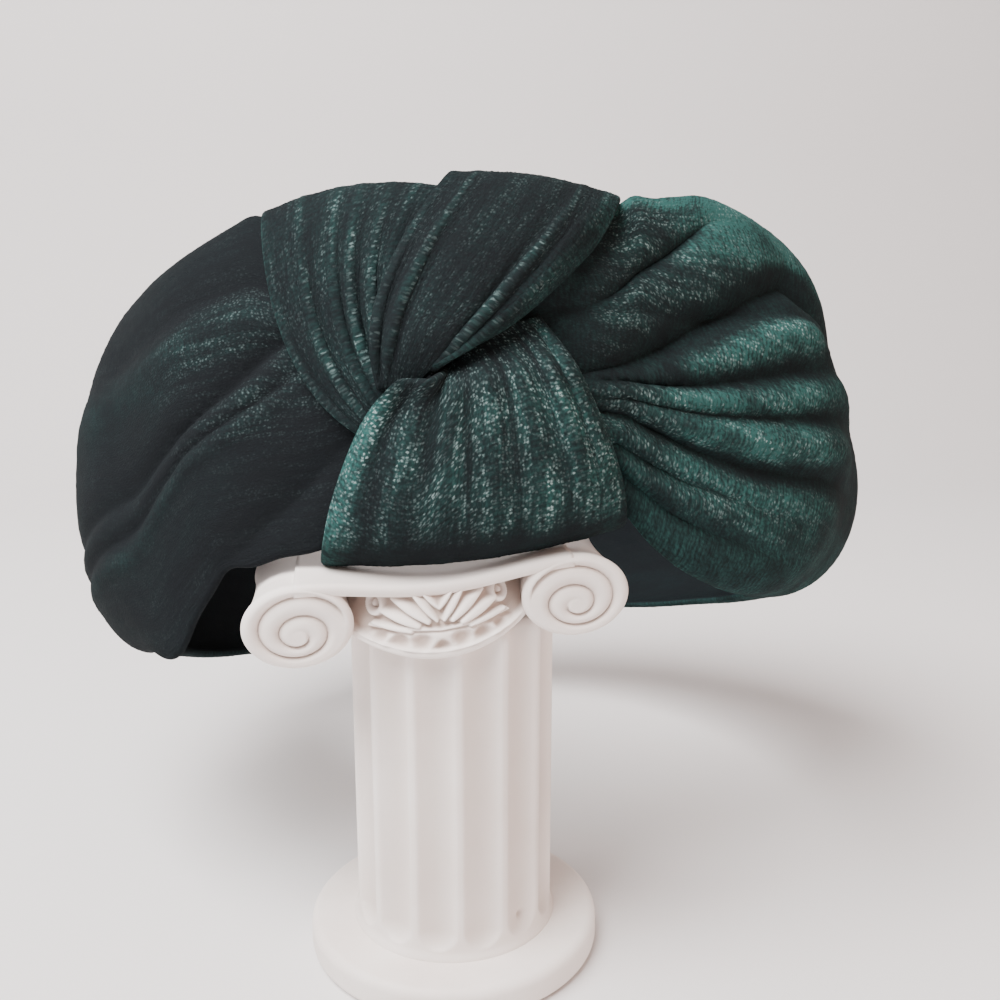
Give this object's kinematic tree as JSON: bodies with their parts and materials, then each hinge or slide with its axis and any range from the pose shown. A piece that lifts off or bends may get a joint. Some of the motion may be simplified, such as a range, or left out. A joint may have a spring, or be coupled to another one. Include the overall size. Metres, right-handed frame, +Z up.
{
  "type": "top knot headband on a column stand",
  "caption": "Wide loop headband of gathered velvet with a crossed knot at the front, resting on a short fluted column stand with a scrolled capital.",
  "frame": {"origin": "centre of the underside of the column's foot", "axes": "+Z up, -Y towards the front, where the knot is, and +X to the right as seen from the front"},
  "size_m": [0.202, 0.1777, 0.1634],
  "materials": {
    "velvet": "dark green stretch velvet with a short nap",
    "plaster": "matt white cast plaster"
  },
  "bodies": {
    "root": {"left_band": "velvet", "right_band": "velvet", "knot_left_fold": "velvet", "knot_upper_fold": "velvet", "knot_lower_fold": "velvet", "column_stand": "plaster"}
  },
  "joints": []
}
